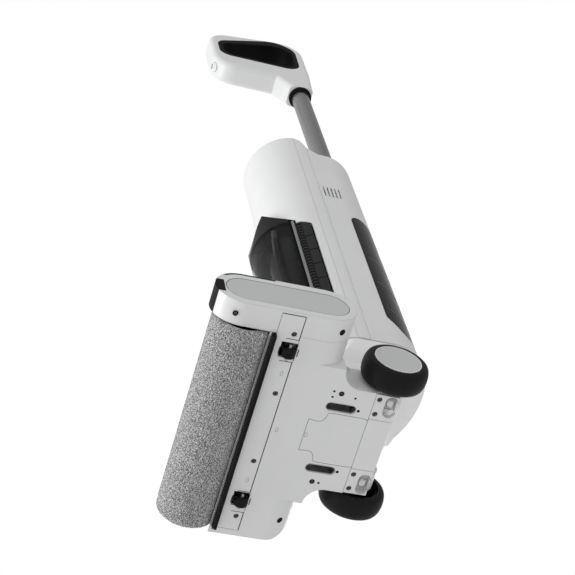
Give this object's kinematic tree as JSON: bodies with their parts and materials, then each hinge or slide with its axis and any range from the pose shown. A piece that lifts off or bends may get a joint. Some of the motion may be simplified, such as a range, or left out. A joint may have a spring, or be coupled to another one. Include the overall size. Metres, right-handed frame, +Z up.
{
  "type": "wet dry floor scrubber",
  "caption": "Upright cordless floor washer: wide roller head on two rear wheels, hinged neck, round-fronted body with two lift-out tanks, metal pole and loop handle.",
  "frame": {"origin": "on the floor under the middle of the upright machine's outer box", "axes": "+Z up, -Y towards the front where the roller lies, +X towards the end housing that holds the roller's drive"},
  "size_m": [0.262, 0.2745, 1.152],
  "materials": {
    "black_matte": "matte",
    "black_plastic": "gloss",
    "bristle": "matte",
    "contact_metal": "gloss",
    "copper_board": "matte",
    "disc_grey": "satin",
    "fabric_grey": "matte",
    "flat_white": "matte",
    "grey_plastic": "satin",
    "pole_metal": "satin",
    "rubber_black": "matte",
    "smoke_clear": "gloss",
    "steel": "satin",
    "tyre_black": "matte",
    "white_shell": "satin"
  },
  "bodies": {
    "head": {"head_base": "white_shell", "head_top_cover": "white_shell", "end_housing": "white_shell", "end_panel": "disc_grey", "lower_plate": "flat_white", "scraper_blade": "rubber_black", "brush_strip": "bristle", "right_bracket": "flat_white", "left_bracket": "flat_white", "middle_cover": "flat_white", "charge_contacts": "contact_metal", "underside_screws": "steel", "front_bumper": "rubber_black", "roller_bearing": "steel", "roller_motor": "steel", "drive_belt": "rubber_black", "suction_duct": "black_matte", "caster_axles": "steel", "right_axle": "steel", "left_axle": "steel", "hinge_pin": "steel"},
    "roller_cover": {"roller_cover": "black_plastic"},
    "roller": {"roller_core": "grey_plastic", "roller_fabric": "fabric_grey", "drive_hub": "steel", "driven_pulley": "black_matte"},
    "motor_drive": {"motor_pulley": "steel"},
    "right_wheel": {"right_tyre": "tyre_black", "right_rim": "black_matte", "right_wheel_cap": "disc_grey"},
    "left_wheel": {"left_tyre": "tyre_black", "left_rim": "black_matte", "left_wheel_cap": "disc_grey"},
    "right_caster": {"right_caster": "rubber_black"},
    "left_caster": {"left_caster": "rubber_black"},
    "neck": {"neck_frame": "white_shell", "swivel_ring": "black_matte"},
    "body": {"front_shell": "white_shell", "rear_shell": "white_shell", "vent_screens": "black_matte", "bay_liner": "black_matte", "battery_pack": "grey_plastic", "water_pump": "black_matte", "suction_motor": "steel", "control_board": "copper_board", "pole_socket": "black_matte", "handle_pole": "pole_metal", "pole_seal": "rubber_black", "handle_shell": "white_shell", "grip_lining": "black_matte"},
    "dirty_tank": {"dirty_tank_cup": "smoke_clear", "dirty_tank_lid": "black_plastic", "dirty_tank_frame": "black_plastic", "tank_side_ribs": "grey_plastic", "dirty_tank_separator": "black_plastic", "dirty_tank_filter": "grey_plastic"},
    "clean_tank": {"clean_tank_shell": "smoke_clear", "clean_tank_cap": "black_plastic", "clean_tank_baffles": "black_matte"},
    "power_button": {"power_button": "white_shell"}
  },
  "joints": [
    {"name": "roller_cover_lift", "type": "slide", "parent": "head", "child": "roller_cover", "axis": [0, 0, 1], "range_m": [0, 0.06]},
    {"name": "roller_spin", "type": "hinge", "parent": "head", "child": "roller", "pos_m": [0, -0.1025, 0.031], "axis": [1, 0, 0], "continuous": true},
    {"name": "motor_spin", "type": "hinge", "parent": "head", "child": "motor_drive", "pos_m": [0, -0.044, 0.04], "axis": [1, 0, 0], "continuous": true},
    {"name": "right_wheel_spin", "type": "hinge", "parent": "head", "child": "right_wheel", "pos_m": [0, 0.0618, 0.034], "axis": [1, 0, 0], "continuous": true},
    {"name": "left_wheel_spin", "type": "hinge", "parent": "head", "child": "left_wheel", "pos_m": [0, 0.0618, 0.034], "axis": [1, 0, 0], "continuous": true},
    {"name": "right_caster_spin", "type": "hinge", "parent": "head", "child": "right_caster", "pos_m": [0.088, -0.056, 0.007], "axis": [1, 0, 0], "continuous": true},
    {"name": "left_caster_spin", "type": "hinge", "parent": "head", "child": "left_caster", "pos_m": [-0.088, -0.056, 0.007], "axis": [1, 0, 0], "continuous": true},
    {"name": "recline", "type": "hinge", "parent": "head", "child": "neck", "pos_m": [0, 0.0618, 0.034], "axis": [-1, 0, 0], "range_deg": [0, 65]},
    {"name": "steer", "type": "hinge", "parent": "neck", "child": "body", "pos_m": [0, 0.065, 0.124], "axis": [0, 0, 1], "range_deg": [-30, 30]},
    {"name": "dirty_tank_pull", "type": "slide", "parent": "body", "child": "dirty_tank", "axis": [0, -1, 0], "range_m": [0, 0.12]},
    {"name": "clean_tank_pull", "type": "slide", "parent": "body", "child": "clean_tank", "axis": [0, 1, 0], "range_m": [0, 0.09]},
    {"name": "power_press", "type": "slide", "parent": "body", "child": "power_button", "axis": [0, 0.9063, 0.4226], "range_m": [0, 0.0012], "stiffness_N_per_m": 400, "springref_m": -0.001}
  ],
  "couplings": [
    {"joint": "motor_spin", "follows": "roller_spin", "ratio": 1.7186}
  ]
}
